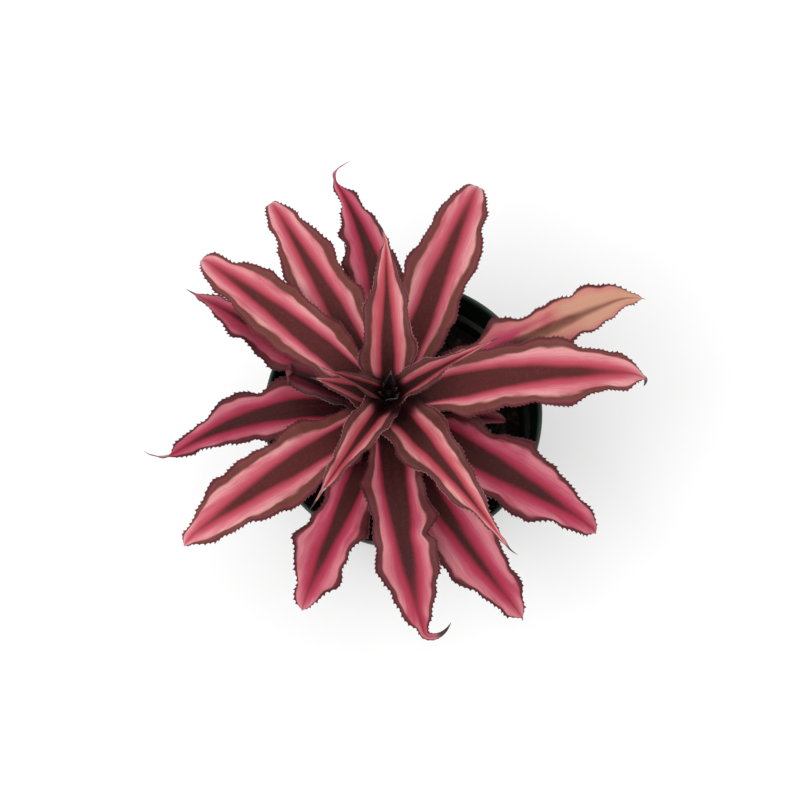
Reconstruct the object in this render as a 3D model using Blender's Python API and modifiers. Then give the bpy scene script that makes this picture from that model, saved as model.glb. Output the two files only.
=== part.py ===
"""Potted earth star bromeliad: a rosette of striped, wavy-edged leaves in a plastic nursery pot.

Blender 4.5, metres, +Z up. The origin is the middle of the pot's underside, and +X points to the
right of a person who looks along +Y. Run it with blender --background --python part.py.
"""

import math
from collections import namedtuple

import bmesh
import bpy
from mathutils import Matrix, Vector

MM = 0.001
GAP = 0.3 * MM  # clearance between pieces that touch

# Pot
POT_HEIGHT = 86 * MM
RIM_RADIUS = 54 * MM
BODY_TAPER = 11.5 * MM  # how much wider the body is at its top than at its base
POT_WALL = 1.4 * MM
FLOOR_THICKNESS = 1.8 * MM
BASE_CHAMFER = 1.5 * MM
COLLAR_HEIGHT = 16 * MM
COLLAR_STEP = 2.4 * MM  # how far the collar's foot stands out from the body
COLLAR_FLARE = 2.6 * MM  # how far the rim stands out from the collar's foot
LIP_RADIUS = 1.2 * MM
DRAIN_HOLES = 6
DRAIN_HOLE_RADIUS = 4 * MM
DRAIN_HOLE_INSET = 11.5 * MM  # from the base's edge to the holes' middles
POT_SIDES = 60
COLLAR_RADIUS = RIM_RADIUS - COLLAR_FLARE
BODY_TOP_RADIUS = COLLAR_RADIUS - COLLAR_STEP
BASE_RADIUS = BODY_TOP_RADIUS - BODY_TAPER

# Potting mix
SOIL_BELOW_RIM = 20 * MM
SOIL_DOME = 6 * MM  # how much higher the mix is at its middle
SOIL_EDGE_HEIGHT = POT_HEIGHT - SOIL_BELOW_RIM
SOIL_CROWN_HEIGHT = SOIL_EDGE_HEIGHT + SOIL_DOME

# Stem and roots
STEM_PLACE = Vector((-5.5 * MM, 1.5 * MM, 0))
STEM_RADIUS = 5 * MM
STEM_TIP_RADIUS = 1.2 * MM
STEM_STRAIGHT = 16 * MM  # from the lowest foot's level up to where the stem starts to narrow
STEM_BURIED = 20 * MM
ROOTS = 6
ROOT_DROP = 34 * MM
ROOT_RADIUS = 1.3 * MM
ROOT_TO_WALL = 8 * MM  # potting mix left between a root's end and the pot

# Leaves
LEAF_CLEARANCE = 0.5 * MM  # from the stem to a leaf's foot
LEAF_THICKNESS = 0.9 * MM
LEAF_SPACING = 0.6 * MM  # clear height between one leaf's foot and the next layer
LEAF_LAYER = LEAF_THICKNESS + LEAF_SPACING
RIM_CLEARANCE = 2.4 * MM  # from the rim up to the lowest midrib that passes over it
LEAF_ROWS = 20
LEAF_COLUMNS = 4
TIP_WIDTH = 0.9 * MM
CURL_START = 0.86  # share of the length where the tip starts to curl

# One row for each leaf, lowest first. heading is its compass direction at the foot, anticlockwise
# from +X; layer is the height of its foot above the potting mix, counted in leaf layers; rise is
# its slope there, and droop how much of that it loses towards the tip; sweep turns it sideways, roll tips it over its midrib, and fold is how far
# each half of the blade stands up. neck is the foot's width as a share of the widest, widest the
# share of the length where that is, and point the outline's power towards the tip (low is sharp).
# tail is a thin dry tip; curl is how far the tip bends down and hook how far it turns sideways.
# waves counts the ripples along each edge, ripple is their height and phase where they start.
# Lengths are in millimetres and angles in degrees.
Leaf = namedtuple(
    "Leaf",
    "name heading length width layer rise droop sweep roll fold neck widest point tail curl hook"
    " waves ripple phase",
)
LEAVES = (
    Leaf("pup_leaf_1", 105, 65, 12, 2.0, 26, 26, 0, 0, 24, 0.6, 0.4, 1.6, 0, 30, 0, 2, 0.6, 0),
    Leaf("pup_leaf_2", 168, 39, 11, 1.2, 18, 34, 0, 0, 24, 0.6, 0.4, 1.9, 0, 60, 0, 2, 0.8, 90),
    Leaf("pup_leaf_3", -4, 43, 12, 1.5, 20, 36, 0, 0, 24, 0.6, 0.4, 1.9, 0, 60, 0, 2, 0.8, 40),
    Leaf("outer_leaf_1", 150, 85, 20, 5.3, 22, 30, 0, 0, 10, 0.5, 0.46, 1.7, 0, 0, 0, 3, 1.4, 0),
    Leaf("outer_leaf_2", 177, 92, 20, 3.8, 22, 33, 40, 0, 10, 0.5, 0.5, 1.5, 6, 0, -55, 3, 1.2, 60),
    Leaf("outer_leaf_3", -112, 84, 23, 5.2, 22, 32, 0, 0, 10, 0.5, 0.5, 2.4, 0, 50, 0, 3, 1.3, 0),
    Leaf("outer_leaf_4", -68, 95, 24, 3.5, 22, 34, 20, 0, 10, 0.5, 0.5, 2.0, 3, 40, 0, 3, 1.4, 30),
    Leaf("outer_leaf_5", -33, 92, 26, 6.4, 21, 30, 0, 0, 10, 0.5, 0.46, 2.3, 0, 55, 0, 3, 1.5, 0),
    Leaf("outer_leaf_6", 25, 108, 21, 4.7, 22, 28, -2, 0, 8, 0.5, 0.5, 1.9, 0, 0, 12, 3, 1.4, 80),
    Leaf("outer_leaf_7", 88, 102, 23, 6.8, 19, 28, 36, 0, 10, 0.5, 0.4, 1.3, 12, 0, -90, 3, 1.5, 0),
    Leaf("middle_leaf_1", 120, 95, 23, 8.5, 22, 30, 0, 0, 10, 0.5, 0.46, 2.0, 0, 60, 0, 3, 1.2, 0),
    Leaf("middle_leaf_2", 68, 95, 25, 10.3, 23, 32, 0, 0, 10, 0.5, 0.5, 2.4, 0, 60, 0, 3, 1.4, 50),
    Leaf("middle_leaf_3", -144, 94, 26, 7.1, 22, 32, 0, 0, 10, 0.5, 0.46, 2.2, 0, 55, 0, 3, 1.5, 20),
    Leaf("middle_leaf_4", -87, 94, 24, 8.4, 23, 34, 18, 0, 10, 0.55, 0.46, 2.0, 5, 40, 90, 3, 1.8, 10),
    Leaf("middle_leaf_5", 143, 92, 23, 11.6, 22, 28, 0, 0, 10, 0.5, 0.46, 2.4, 0, 60, 0, 3, 1.4, 40),
    Leaf("middle_leaf_6", 11, 97, 26, 12.1, 22, 29, -15, 0, 8, 0.5, 0.5, 2.3, 0, 45, 0, 3, 1.4, 0),
    Leaf("inner_leaf_1", -55, 75, 23, 12.9, 32, 30, 0, 0, 16, 0.8, 0.25, 1.2, 3, 0, 0, 3, 1.2, 0),
    Leaf("inner_leaf_2", 91, 64, 21, 13.1, 48, 20, 0, 0, 16, 0.8, 0.25, 1.8, 4, 0, 20, 3, 0.8, 0),
    Leaf("inner_leaf_3", 172, 28, 15, 14.4, 42, 20, 0, 0, 26, 0.8, 0.3, 1.3, 0, 0, 0, 2, 0.6, 0),
    Leaf("inner_leaf_4", -118, 61, 17, 15.8, 42, 20, 0, 0, 34, 0.8, 0.3, 1.2, 3, 0, 0, 3, 0.8, 0),
    Leaf("inner_leaf_5", 14, 52, 14, 17.4, 54, 16, 0, 0, 34, 0.8, 0.25, 1.1, 4, 0, 0, 2, 0.6, 0),
    Leaf("heart_leaf_1", 176, 36, 9, 18.6, 58, 10, 0, 0, 36, 0.8, 0.25, 1.1, 4, 0, 0, 2, 0.3, 0),
    Leaf("heart_leaf_2", -60, 14, 6, 19.6, 74, 4, 0, 0, 24, 0.7, 0.3, 1.3, 0, 0, 0, 2, 0.1, 0),
    Leaf("heart_leaf_3", 80, 11, 5, 20.1, 74, 4, 0, 0, 24, 0.7, 0.3, 1.3, 0, 0, 0, 2, 0.1, 0),
)

POT_GREEN = (0.012, 0.045, 0.024)
SOIL_BROWN = (0.035, 0.022, 0.015)
STEM_BROWN = (0.16, 0.10, 0.06)
LEAF_ROSE = (0.46, 0.09, 0.12)


def clear_scene():
    for leftover in list(bpy.data.objects):
        bpy.data.objects.remove(leftover)


def material(name, colour, roughness):
    made = bpy.data.materials.new(name)
    made.use_nodes = True
    shader = made.node_tree.nodes["Principled BSDF"]
    shader.inputs["Base Color"].default_value = (*colour, 1)
    shader.inputs["Roughness"].default_value = roughness
    shader.inputs["Metallic"].default_value = 0
    return made


def add_object(name, mesh, collection, finish=None):
    made = bpy.data.objects.new(name, mesh)
    collection.objects.link(made)
    if finish:
        mesh.materials.append(finish)
    return made


def hide_tool(tool):
    tool.hide_render = True
    tool.display_type = "WIRE"


def smooth_step(share):
    share = min(max(share, 0.0), 1.0)
    return share * share * (3 - 2 * share)


def turned(name, profile, sides, collection, finish=None):
    """A solid turned about its own Z axis from a profile of (radius, height), which starts on the
    axis, climbs the inside, and comes down the outside."""
    mesh = bpy.data.meshes.new(name)
    points = [(radius, 0, height) for radius, height in profile]
    edges = [(i, i + 1) for i in range(len(points) - 1)]
    mesh.from_pydata(points, edges, [])
    made = add_object(name, mesh, collection, finish)
    screw = made.modifiers.new("turn", "SCREW")
    screw.steps = sides
    screw.render_steps = sides
    screw.use_merge_vertices = True
    screw.merge_threshold = 0.00001
    return made


def mesh_from(source):
    """The object with its modifiers or curve applied, as a welded mesh, and the source removed."""
    bpy.context.view_layer.update()
    evaluated = source.evaluated_get(bpy.context.evaluated_depsgraph_get())
    mesh = bpy.data.meshes.new_from_object(evaluated)
    edit = bmesh.new()
    edit.from_mesh(mesh)
    bmesh.ops.remove_doubles(edit, verts=edit.verts, dist=0.00001)
    bmesh.ops.recalc_face_normals(edit, faces=edit.faces)
    edit.to_mesh(mesh)
    edit.free()
    name = source.name
    place = source.matrix_world.copy()
    owner = source.users_collection[0]
    bpy.data.objects.remove(source)
    made = bpy.data.objects.new(name, mesh)
    owner.objects.link(made)
    made.matrix_world = place
    return made


def shade(piece, angle=35):
    piece.data.shade_smooth()
    piece.data.set_sharp_from_angle(angle=math.radians(angle))


# --- Pot -------------------------------------------------------------------------------------


def body_outer_radius(height):
    share = height / (POT_HEIGHT - COLLAR_HEIGHT)
    return BASE_RADIUS + (BODY_TOP_RADIUS - BASE_RADIUS) * share


def pot_inner_radius(height):
    return body_outer_radius(height) - POT_WALL


def pot_profile():
    collar_foot = POT_HEIGHT - COLLAR_HEIGHT
    lip_middle = (RIM_RADIUS - LIP_RADIUS, POT_HEIGHT - LIP_RADIUS)
    inner_top = RIM_RADIUS - 2 * LIP_RADIUS
    lip = [
        (
            lip_middle[0] + LIP_RADIUS * math.cos(math.radians(angle)),
            lip_middle[1] + LIP_RADIUS * math.sin(math.radians(angle)),
        )
        for angle in (180, 135, 90, 45, 0, -45, -90)
    ]
    return [
        (0, FLOOR_THICKNESS),
        (pot_inner_radius(FLOOR_THICKNESS), FLOOR_THICKNESS),
        (pot_inner_radius(collar_foot), collar_foot),
        (COLLAR_RADIUS - POT_WALL, collar_foot + POT_WALL),
        (inner_top, POT_HEIGHT - 2 * LIP_RADIUS),
        *lip,
        (RIM_RADIUS - 1.6 * LIP_RADIUS, POT_HEIGHT - 2.3 * LIP_RADIUS),
        (COLLAR_RADIUS, collar_foot),
        (BODY_TOP_RADIUS, collar_foot),
        (body_outer_radius(BASE_CHAMFER), BASE_CHAMFER),
        (BASE_RADIUS - BASE_CHAMFER, 0),
        (0, 0),
    ]


def make_pot(collection, tools):
    finish = material("pot_plastic", POT_GREEN, 0.38)
    pot = turned("nursery_pot", pot_profile(), POT_SIDES, collection, finish)
    ring = BASE_RADIUS - DRAIN_HOLE_INSET
    for number in range(DRAIN_HOLES):
        angle = 2 * math.pi * (number + 0.5) / DRAIN_HOLES
        bpy.ops.mesh.primitive_cylinder_add(
            vertices=20,
            radius=DRAIN_HOLE_RADIUS,
            depth=4 * FLOOR_THICKNESS,
            location=(
                ring * math.cos(angle),
                ring * math.sin(angle),
                FLOOR_THICKNESS / 2,
            ),
        )
        hole = bpy.context.object
        hole.name = f"drain_hole_cutter_{number + 1}"
        for owner in list(hole.users_collection):
            owner.objects.unlink(hole)
        tools.objects.link(hole)
        hide_tool(hole)
        cut = pot.modifiers.new(f"drain_hole_{number + 1}", "BOOLEAN")
        cut.operation = "DIFFERENCE"
        cut.object = hole
    shade(pot)
    return pot


# --- Stem with its roots, and the potting mix around them -------------------------------------


def stem_top(plant_base):
    return plant_base + (LEAVES[-1].layer + 1) * LEAF_LAYER


def stem_radius(height, plant_base):
    narrows = plant_base + STEM_STRAIGHT
    share = min(max((height - narrows) / (stem_top(plant_base) - narrows), 0), 1)
    return STEM_RADIUS + (STEM_TIP_RADIUS - STEM_RADIUS) * share


def stem_profile(plant_base, clearance=0.0):
    soil = SOIL_CROWN_HEIGHT
    top = stem_top(plant_base) + clearance
    foot = soil - STEM_BURIED - clearance
    return [
        (0, top),
        (STEM_TIP_RADIUS + clearance, top),
        (STEM_RADIUS + clearance, plant_base + STEM_STRAIGHT),
        (STEM_RADIUS + clearance, soil),
        (0.8 * STEM_RADIUS + clearance, soil - 0.4 * STEM_BURIED),
        (0.45 * STEM_RADIUS + clearance, foot),
        (0, foot),
    ]


def root(number, name, collection, clearance=0.0):
    """One root, leaving the buried part of the stem sideways and bending down into the mix."""
    angle = 2 * math.pi * number / ROOTS + 0.4
    outward = Vector((math.cos(angle), math.sin(angle), 0))
    start = SOIL_CROWN_HEIGHT - 0.75 * STEM_BURIED + (number % 3) * 0.11 * STEM_BURIED
    end = start - ROOT_DROP
    reach = pot_inner_radius(end) - ROOT_TO_WALL - STEM_PLACE.length
    curve = bpy.data.curves.new(name, "CURVE")
    curve.dimensions = "3D"
    curve.bevel_depth = ROOT_RADIUS
    curve.bevel_resolution = 1
    curve.use_fill_caps = True
    places = []
    for step in range(6):
        share = step / 5
        place = STEM_PLACE + outward * (share * reach)
        place.z = start + (end - start) * share**1.8
        places.append(place)
    places[-1] += (places[-1] - places[-2]).normalized() * clearance
    line = curve.splines.new("POLY")
    line.points.add(len(places) - 1)
    for step, (point, place) in enumerate(zip(line.points, places)):
        point.co = (*place, 1)
        point.radius = 1 - 0.12 * step + clearance / ROOT_RADIUS
    made = bpy.data.objects.new(name, curve)
    collection.objects.link(made)
    return mesh_from(made)


def make_stem(collection, tools, plant_base):
    stem = turned("stem_and_roots", stem_profile(plant_base), 20, collection)
    stem.location = STEM_PLACE
    stem = mesh_from(stem)
    stem.data.materials.append(material("stem_bark", STEM_BROWN, 0.85))
    for number in range(ROOTS):
        branch = root(number, f"root_{number + 1}", tools)
        hide_tool(branch)
        join = stem.modifiers.new(branch.name, "BOOLEAN")
        join.operation = "UNION"
        join.object = branch
    shade(stem)
    return stem


def make_soil(collection, tools, plant_base):
    edge = SOIL_EDGE_HEIGHT
    floor = FLOOR_THICKNESS + GAP
    profile = [
        (0, SOIL_CROWN_HEIGHT),
        (0.35 * RIM_RADIUS, SOIL_CROWN_HEIGHT - 1 * MM),
        (0.7 * RIM_RADIUS, 0.5 * (SOIL_CROWN_HEIGHT + edge) - 1 * MM),
        (pot_inner_radius(edge) - GAP, edge),
        (pot_inner_radius(floor) - GAP, floor),
        (0, floor),
    ]
    soil = turned("potting_mix", profile, 40, collection)
    soil = mesh_from(soil)
    soil.data.materials.append(material("potting_mix", SOIL_BROWN, 0.95))
    socket = turned("stem_cutter", stem_profile(plant_base, GAP), 20, tools)
    socket.location = STEM_PLACE
    cutters = [mesh_from(socket)]
    for number in range(ROOTS):
        cutters.append(root(number, f"root_cutter_{number + 1}", tools, GAP))
    for cutter in cutters:
        hide_tool(cutter)
        cut = soil.modifiers.new(cutter.name, "BOOLEAN")
        cut.operation = "DIFFERENCE"
        cut.object = cutter
    shade(soil)
    return soil


# --- Leaves ----------------------------------------------------------------------------------


def leaf_outline(leaf, share):
    """Half the blade's width, in metres, at this share of its length."""
    blade_end = 1 - leaf.tail / leaf.length
    if share < leaf.widest:
        part = leaf.neck + (1 - leaf.neck) * math.sin(math.pi / 2 * share / leaf.widest)
    else:
        past = min((share - leaf.widest) / (blade_end - leaf.widest), 1)
        part = 1 - past**leaf.point
    return max(part * leaf.width * MM, TIP_WIDTH) / 2


def leaf_stations(leaf, shares, plant_base):
    """For each share of the length, a point on the midrib with the directions along the blade,
    across it and out of its face."""
    steps_between = 8
    heading = math.radians(leaf.heading)
    outward = Vector((math.cos(heading), math.sin(heading), 0))
    foot = plant_base + leaf.layer * LEAF_LAYER
    place = STEM_PLACE + outward * (stem_radius(foot, plant_base) + LEAF_CLEARANCE)
    place.z = foot
    stations = []
    last = 0.0
    for share in shares:
        for step in range(steps_between):
            middle = last + (share - last) * (step + 0.5) / steps_between
            along = leaf_direction(leaf, middle)[0]
            place = place + along * ((share - last) / steps_between * leaf.length * MM)
        last = share
        stations.append((place.copy(), *leaf_direction(leaf, share)))
    return stations


def leaf_direction(leaf, share):
    tip = smooth_step((share - CURL_START) / (1 - CURL_START))
    heading = math.radians(leaf.heading + leaf.sweep * share + leaf.hook * tip)
    slope = math.radians(leaf.rise - leaf.droop * share**1.2 - leaf.curl * tip)
    along = Vector(
        (
            math.cos(slope) * math.cos(heading),
            math.cos(slope) * math.sin(heading),
            math.sin(slope),
        )
    )
    across = Vector((-math.sin(heading), math.cos(heading), 0))
    turn = Matrix.Rotation(math.radians(leaf.roll), 3, along)
    across = turn @ across
    return along, across, along.cross(across)


def leaf_point(leaf, station, share, side):
    """A point on the upper face. side runs from -1 at one edge to 1 at the other."""
    place, _, across, out = station
    half = leaf_outline(leaf, share)
    fold = math.radians(leaf.fold)
    wave = 2 * math.pi * leaf.waves * share + math.radians(leaf.phase)
    wave += 1.9 if side > 0 else 0.0
    calm = smooth_step(share / 0.2) * smooth_step((1 - share) / 0.25)
    edge = abs(side) ** 2.2 * calm
    width = half * side * math.cos(fold) * (1 + 0.07 * edge * math.cos(wave))
    lift = half * math.sin(fold) * abs(side) ** 1.3
    lift += leaf.ripple * MM * edge * math.sin(wave)
    return place + across * width + out * lift


def plant_base_height():
    """The level that the leaves' layers are counted from. It is the top of the potting mix, or as
    much higher as it takes for every leaf to clear the rim."""
    base = SOIL_CROWN_HEIGHT
    lift = 0
    for leaf in LEAVES:
        for place, *_ in leaf_stations(leaf, [step / 40 for step in range(41)], base):
            reach = math.hypot(place.x, place.y)
            if abs(reach - RIM_RADIUS) < 3 * LIP_RADIUS:
                lift = max(lift, POT_HEIGHT + RIM_CLEARANCE - place.z)
    return base + lift


def make_leaf(leaf, collection, finish, plant_base):
    edit = bmesh.new()
    bmesh.ops.create_grid(edit, x_segments=LEAF_ROWS, y_segments=LEAF_COLUMNS, size=1.0)
    rows = sorted({round((v.co.x + 1) / 2, 5) for v in edit.verts})
    shares = {row: 1 - (1 - row) ** 1.25 for row in rows}
    stations = leaf_stations(leaf, [shares[row] for row in rows], plant_base)
    placed = dict(zip(rows, stations))
    for vertex in edit.verts:
        row = round((vertex.co.x + 1) / 2, 5)
        vertex.co = leaf_point(leaf, placed[row], shares[row], vertex.co.y)
    mesh = bpy.data.meshes.new(leaf.name)
    edit.to_mesh(mesh)
    edit.free()
    made = add_object(leaf.name, mesh, collection, finish)
    body = made.modifiers.new("thickness", "SOLIDIFY")
    body.thickness = LEAF_THICKNESS
    body.offset = -1
    mesh.shade_smooth()
    return made


def make_model():
    clear_scene()
    plant = bpy.data.collections.new("potted_bromeliad")
    tools = bpy.data.collections.new("cutters")
    for collection in (plant, tools):
        bpy.context.scene.collection.children.link(collection)
    plant_base = plant_base_height()
    make_pot(plant, tools)
    make_stem(plant, tools, plant_base)
    make_soil(plant, tools, plant_base)
    leaf_finish = material("leaf", LEAF_ROSE, 0.5)
    for leaf in LEAVES:
        make_leaf(leaf, plant, leaf_finish, plant_base)


make_model()
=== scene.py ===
"""Earth star bromeliad in a plastic nursery pot: the visible model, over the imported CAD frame."""

import math
import random
from collections import namedtuple

import bpy
import numpy as np
from mathutils import Matrix, Vector


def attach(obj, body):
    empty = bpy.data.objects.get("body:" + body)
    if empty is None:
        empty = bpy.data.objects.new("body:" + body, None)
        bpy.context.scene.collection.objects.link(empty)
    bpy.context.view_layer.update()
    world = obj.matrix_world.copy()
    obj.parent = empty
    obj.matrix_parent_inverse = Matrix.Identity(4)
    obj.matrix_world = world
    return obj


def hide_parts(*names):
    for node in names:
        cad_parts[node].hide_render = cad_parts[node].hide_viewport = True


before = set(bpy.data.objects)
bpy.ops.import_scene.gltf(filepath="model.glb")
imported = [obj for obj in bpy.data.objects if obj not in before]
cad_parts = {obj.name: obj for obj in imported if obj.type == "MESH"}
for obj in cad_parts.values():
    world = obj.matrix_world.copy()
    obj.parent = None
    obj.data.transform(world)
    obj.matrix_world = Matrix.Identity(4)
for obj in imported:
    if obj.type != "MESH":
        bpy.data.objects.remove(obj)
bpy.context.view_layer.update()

# --- Nursery pot -------------------------------------------------------------------------------
# A thin pot moulded from dark green plastic: a tapered body on a low foot ring, a stepped collar
# that stiffens the top, and a narrow rolled lip. Six round holes drain it.

MM = 0.001
POT_SIDES = 160
DRAIN_HOLES = 6
DRAIN_HOLE_RADIUS = 4.0
DRAIN_RING_RADIUS = 26.0  # from the pot's middle to the middle of each hole
LIP_HIGHLIGHT_FOOT = 0.0838  # metres, where the painted highlight along the lip begins
# (radius, height) in millimetres, from the recess under the floor up the outside, over the lip
# and down the inside to the floor
POT_OUTLINE = [
    (33.2, 0.8), (33.6, 0.1), (34.2, 0.0), (36.0, 0.0), (36.7, 0.25), (37.3, 0.8), (37.75, 1.6),
    (38.6, 6.5), (38.95, 7.0), (39.05, 7.6), (38.95, 8.2), (39.1, 9.0),
    (43.0, 33.5), (47.0, 57.8), (47.4, 58.3), (47.6, 59.0), (47.55, 59.7), (47.35, 60.2),
    (48.7, 68.6), (48.9, 69.5), (49.3, 69.9), (50.9, 70.0), (51.3, 70.15), (51.5, 70.6),
    (51.75, 76.0), (52.0, 82.4), (52.2, 82.9), (52.7, 83.2), (53.4, 83.5), (53.85, 84.0),
    (54.0, 84.7), (53.9, 85.3), (53.6, 85.75), (53.2, 85.95), (52.8, 85.9), (52.5, 85.6),
    (52.3, 85.1), (51.9, 83.6), (51.1, 76.0), (50.7, 71.6), (50.4, 71.0), (49.8, 70.8),
    (48.4, 70.6), (48.0, 70.2), (47.8, 69.4), (46.0, 58.6), (42.0, 34.0), (37.3, 5.0),
    (36.9, 3.0), (36.1, 2.0), (34.8, 1.8),
]


def drop_selection():
    if bpy.context.mode != "OBJECT":
        bpy.ops.object.mode_set(mode="OBJECT")
    bpy.ops.object.select_all(action="DESELECT")


def draw_up_rings(outline, sides, name):
    """A round wall drawn up ring by ring from a circle, as on a lathe, with both ends closed."""
    drop_selection()
    radius, height = outline[0]
    bpy.ops.mesh.primitive_circle_add(
        vertices=sides, radius=radius * MM, fill_type="NGON", location=(0, 0, height * MM)
    )
    made = bpy.context.object
    made.name = name
    bpy.ops.object.transform_apply(location=True, rotation=True, scale=True)
    bpy.ops.object.mode_set(mode="EDIT")
    bpy.ops.mesh.select_all(action="SELECT")
    bpy.ops.mesh.delete(type="ONLY_FACE")
    bpy.ops.mesh.select_all(action="SELECT")
    bpy.ops.mesh.edge_face_add()
    for (old_radius, old_height), (radius, height) in zip(outline, outline[1:]):
        bpy.ops.mesh.extrude_region_move(
            TRANSFORM_OT_translate={"value": (0, 0, (height - old_height) * MM)}
        )
        grow = radius / old_radius
        bpy.ops.transform.resize(value=(grow, grow, 1), center_override=(0, 0, height * MM))
    bpy.ops.mesh.select_all(action="SELECT")
    bpy.ops.mesh.normals_make_consistent(inside=False)
    bpy.ops.object.mode_set(mode="OBJECT")
    return made


def apply_all(piece):
    """Applies every modifier of the piece, and leaves only that piece selected."""
    drop_selection()
    piece.select_set(True)
    bpy.context.view_layer.objects.active = piece
    for modifier in list(piece.modifiers):
        bpy.ops.object.modifier_apply(modifier=modifier.name)


pot = draw_up_rings(POT_OUTLINE, POT_SIDES, "nursery_pot_shell")
for number in range(DRAIN_HOLES):
    turn = 2 * math.pi * (number + 0.5) / DRAIN_HOLES
    bpy.ops.mesh.primitive_cylinder_add(
        vertices=40,
        radius=DRAIN_HOLE_RADIUS * MM,
        depth=8 * MM,
        location=(
            DRAIN_RING_RADIUS * MM * math.cos(turn),
            DRAIN_RING_RADIUS * MM * math.sin(turn),
            1.2 * MM,
        ),
    )
    drill = bpy.context.object
    hole = pot.modifiers.new("drain hole", "BOOLEAN")
    hole.operation = "DIFFERENCE"
    hole.solver = "EXACT"
    hole.object = drill
    apply_all(pot)
    bpy.data.objects.remove(drill)
bpy.ops.object.shade_smooth_by_angle(angle=math.radians(42))


def new_material(name):
    """A material with its own Principled shader, and the node tree and shader to work on."""
    made = bpy.data.materials.new(name)
    made.use_nodes = True
    tree = made.node_tree
    return made, tree, tree.nodes["Principled BSDF"]


def put(tree, kind, **settings):
    """A new node of this kind. A setting named after one of its inputs gives that input its value
    or the socket that feeds it, and any other sets the property of that name."""
    node = tree.nodes.new("ShaderNode" + kind)
    for key, value in settings.items():
        socket = next((s for s in node.inputs if s.name.lower().replace(" ", "_") == key), None)
        if socket is None:
            setattr(node, key, value)
        elif isinstance(value, bpy.types.NodeSocket):
            tree.links.new(value, socket)
        else:
            socket.default_value = value
    return node


def maths(tree, operation, first, second=None, third=None, clamp=False):
    """The result of a sum on up to three numbers or sockets."""
    node = tree.nodes.new("ShaderNodeMath")
    node.operation = operation
    node.use_clamp = clamp
    for socket, value in zip(node.inputs, (first, second, third)):
        if isinstance(value, bpy.types.NodeSocket):
            tree.links.new(value, socket)
        elif value is not None:
            socket.default_value = value
    return node.outputs[0]


def fade(tree, value, low, high, start=0.0, end=1.0):
    """Goes smoothly from start to end as the value goes from low to high."""
    node = tree.nodes.new("ShaderNodeMapRange")
    node.interpolation_type = "SMOOTHSTEP"
    for socket, given in zip(node.inputs, (value, low, high, start, end)):
        if isinstance(given, bpy.types.NodeSocket):
            tree.links.new(given, socket)
        else:
            socket.default_value = given
    return node.outputs[0]


def blend_colours(tree, factor, first, second):
    """The first colour at factor 0 and the second at 1."""
    node = tree.nodes.new("ShaderNodeMix")
    node.data_type = "RGBA"
    for number, given in ((0, factor), (6, first), (7, second)):
        socket = node.inputs[number]
        if isinstance(given, bpy.types.NodeSocket):
            tree.links.new(given, socket)
        elif isinstance(given, (int, float)):
            socket.default_value = given
        else:
            socket.default_value = (*given, 1)
    return node.outputs[2]


plastic, tree, shader = new_material("dark green moulded plastic")
place = put(tree, "TexCoord").outputs["Object"]
height = put(tree, "SeparateXYZ", vector=place).outputs["Z"]
dust = put(tree, "TexNoise", vector=place, scale=60, detail=8, roughness=0.65).outputs[0]
speckle = put(tree, "TexNoise", vector=place, scale=900, detail=3).outputs[0]
hoops = put(tree, "Mapping", vector=place, scale=(60, 60, 900)).outputs[0]
scuffs = put(tree, "TexNoise", vector=hoops, scale=1, detail=5).outputs[0]
soiled = maths(tree, "MULTIPLY", fade(tree, dust, 0.50, 0.75), fade(tree, speckle, 0.42, 0.66))
# painted highlight: the rolled lip is painted a paler green, as if light caught its edge
lip = fade(tree, height, LIP_HIGHLIGHT_FOOT, LIP_HIGHLIGHT_FOOT + 1.4 * MM)
green = blend_colours(tree, lip, (0.0018, 0.0062, 0.0036), (0.022, 0.040, 0.030))
green = blend_colours(tree, maths(tree, "MULTIPLY", soiled, 0.35), green, (0.055, 0.045, 0.034))
foot_dust = fade(tree, height, 0.012, 0.0, 0, 0.35)
green = blend_colours(tree, maths(tree, "MULTIPLY", foot_dust, dust), green, (0.10, 0.085, 0.07))
tree.links.new(green, shader.inputs["Base Color"])
rough = maths(tree, "MULTIPLY_ADD", soiled, 0.3, fade(tree, scuffs, 0.35, 0.7, 0.37, 0.43))
tree.links.new(rough, shader.inputs["Roughness"])
swirl = put(tree, "TexNoise", vector=place, scale=220, detail=4).outputs[0]
relief = maths(tree, "MULTIPLY_ADD", scuffs, 0.15, maths(tree, "MULTIPLY", swirl, 0.85))
bump = put(tree, "Bump", strength=0.35, distance=0.00005, height=relief)
tree.links.new(bump.outputs[0], shader.inputs["Normal"])
shader.inputs["Specular IOR Level"].default_value = 0.34
pot.data.materials.append(plastic)
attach(pot, "root")
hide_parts("nursery_pot")

# --- Potting mix -------------------------------------------------------------------------------
# Moist peat with fine bark, filled to two centimetres below the rim and slightly domed towards
# the stem. Loose crumbs, bark chips and a few grains of white perlite lie on it.

SOIL_EDGE = 66.0  # height of the mix where it meets the wall
SOIL_CROWN = 72.0  # and round the stem
SOIL_RADIUS = 46.6
SOIL_RINGS = 33  # drawn across the top of the bed, this far apart
SOIL_RING_STEP = 1.35


def soil_height(radius):
    """The level of the mix in millimetres at this distance from the pot's middle."""
    return SOIL_CROWN - (SOIL_CROWN - SOIL_EDGE) * min(radius / SOIL_RADIUS, 1.0) ** 1.6


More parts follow.
